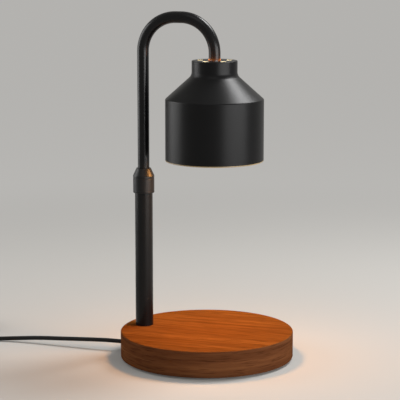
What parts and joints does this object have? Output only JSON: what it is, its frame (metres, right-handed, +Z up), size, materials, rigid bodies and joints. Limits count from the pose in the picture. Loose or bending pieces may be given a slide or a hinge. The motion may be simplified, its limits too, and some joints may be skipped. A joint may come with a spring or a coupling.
{
  "type": "candle warmer lamp",
  "caption": "Table lamp that melts a jar candle from above: round wooden base, telescopic pole, arched arm, black metal shade over a halogen lamp, and a lead with a rotary dimmer.",
  "frame": {"origin": "centre of the round base, on the surface that it stands on", "axes": "+Z up; +X from the pole across the base to its open side, under the arm; +Y to the back, so the picture looks along +Y from the front right"},
  "size_m": [0.4328, 0.15, 0.3004],
  "materials": {
    "base_wood": "oiled, satin",
    "plate_black": "powder coat, matte",
    "inner_plastic": "moulded, matte",
    "tube_black": "gloss paint",
    "shade_black": "semi-gloss paint",
    "zinc_steel": "zinc plated, satin",
    "lead_silicone": "silicone sheath, matte",
    "ceramic": "unglazed ceramic, matte",
    "lamp_ceramic": "ceramic cement, matte",
    "lamp_mirror": "mirrored pressed glass",
    "burner_glass": "clear quartz, frosted",
    "front_glass": "clear, gloss",
    "cord_black": "moulded sheath, matte",
    "dimmer_black": "fine texture, matte",
    "dial_black": "satin",
    "board_green": "lacquered",
    "control_blue": "moulded",
    "blade_brass": "bare, satin",
    "foot_rubber": "matte"
  },
  "bodies": {
    "base": {"bottom_plate": "plate_black", "clamp_screw_1": "zinc_steel", "clamp_screw_2": "zinc_steel", "collet": "inner_plastic", "cord_clamp": "inner_plastic", "cord_coil": "cord_black", "cord_tail": "cord_black", "cord_to_coil": "cord_black", "cord_to_dimmer": "cord_black", "cord_to_plug": "cord_black", "dimmer_board": "board_green", "dimmer_bottom": "dimmer_black", "dimmer_control": "control_blue", "dimmer_screw_1": "zinc_steel", "dimmer_screw_2": "zinc_steel", "dimmer_top": "dimmer_black", "foot_1": "foot_rubber", "foot_2": "foot_rubber", "foot_3": "foot_rubber", "foot_4": "foot_rubber", "hollow_stud": "zinc_steel", "lower_tube": "tube_black", "plate_screw_1": "zinc_steel", "plate_screw_2": "zinc_steel", "plate_screw_3": "zinc_steel", "plug_blade_1": "blade_brass", "plug_blade_2": "blade_brass", "plug_body": "cord_black", "pole_lead": "lead_silicone", "stud_nut": "zinc_steel", "stud_washer": "zinc_steel", "terminal_block": "inner_plastic", "terminal_screw_1": "blade_brass", "terminal_screw_2": "blade_brass", "tube_insert": "zinc_steel", "wood_base": "base_wood"},
    "collar": {"lock_collar": "tube_black"},
    "slider": {"guide_bush": "inner_plastic"},
    "arm": {"arm_tube": "tube_black", "arm_lead": "lead_silicone", "shade": "shade_black", "shade_nipple": "zinc_steel", "shade_washer": "zinc_steel", "shade_nut": "zinc_steel", "holder_bracket": "zinc_steel", "lamp_holder": "ceramic", "holder_screw_1": "zinc_steel", "holder_screw_2": "zinc_steel", "lamp_base": "lamp_ceramic", "lamp_pin_1": "zinc_steel", "lamp_pin_2": "zinc_steel", "lamp_reflector": "lamp_mirror", "lamp_burner": "burner_glass", "lamp_front_glass": "front_glass"},
    "dial": {"dimmer_dial": "dial_black", "dimmer_shaft": "zinc_steel"}
  },
  "joints": [
    {"name": "height_slide", "type": "slide", "parent": "base", "child": "slider", "axis": [0, 0, 1], "range_m": [-0.06, 0.03], "deforming": ["pole_lead"]},
    {"name": "arm_swing", "type": "hinge", "parent": "slider", "child": "arm", "pos_m": [-0.0582, 0, 0.2], "axis": [0, 0, 1], "range_deg": [-90, 90]},
    {"name": "collar_twist", "type": "hinge", "parent": "base", "child": "collar", "pos_m": [-0.0582, 0, 0.15], "axis": [0, 0, 1], "range_deg": [0, 120]},
    {"name": "dial_turn", "type": "hinge", "parent": "base", "child": "dial", "pos_m": [-0.296, -0.044, 0.016], "axis": [0, 0, 1], "range_deg": [0, 270]}
  ]
}
